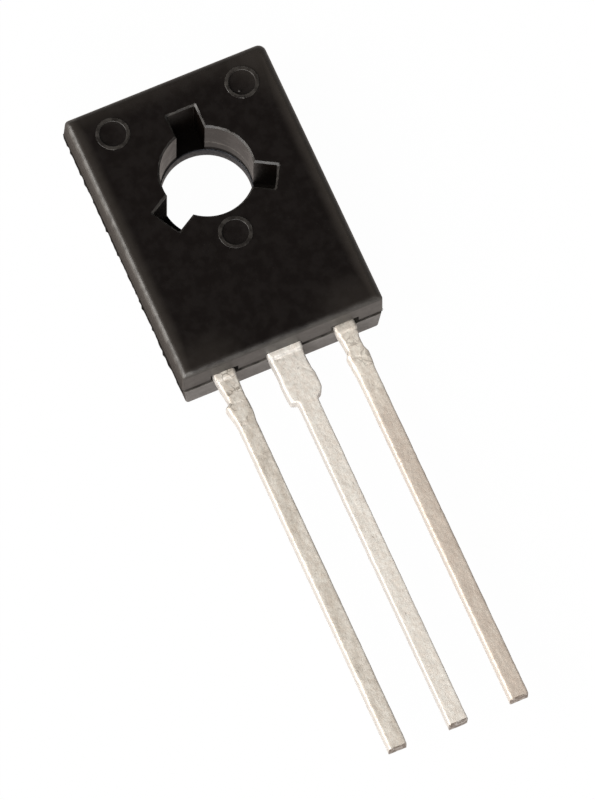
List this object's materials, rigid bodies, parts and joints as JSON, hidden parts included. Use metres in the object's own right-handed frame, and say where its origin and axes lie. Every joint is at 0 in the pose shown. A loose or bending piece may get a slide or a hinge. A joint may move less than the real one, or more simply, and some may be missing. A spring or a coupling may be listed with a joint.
{
  "type": "power transistor",
  "caption": "Flat black moulded power transistor with a screw hole, pin notches beside it and a row of straight tinned leads.",
  "frame": {"origin": "axis of the screw hole at the back face", "axes": "+Z out of the front face, along the screw hole; +Y towards the far end, away from the leads; +X towards the base lead"},
  "size_m": [0.0076, 0.0255, 0.0026],
  "materials": {
    "moulding": "satin",
    "tinned_strip": "satin",
    "silicon": "polished",
    "solder": "satin",
    "bond_wire": "satin"
  },
  "bodies": {
    "root": {"moulded_body": "moulding", "collector_frame": "tinned_strip", "emitter_lead": "tinned_strip", "base_lead": "tinned_strip", "silicon_chip": "silicon", "chip_solder": "solder", "emitter_wire": "bond_wire", "base_wire": "bond_wire"}
  },
  "joints": []
}
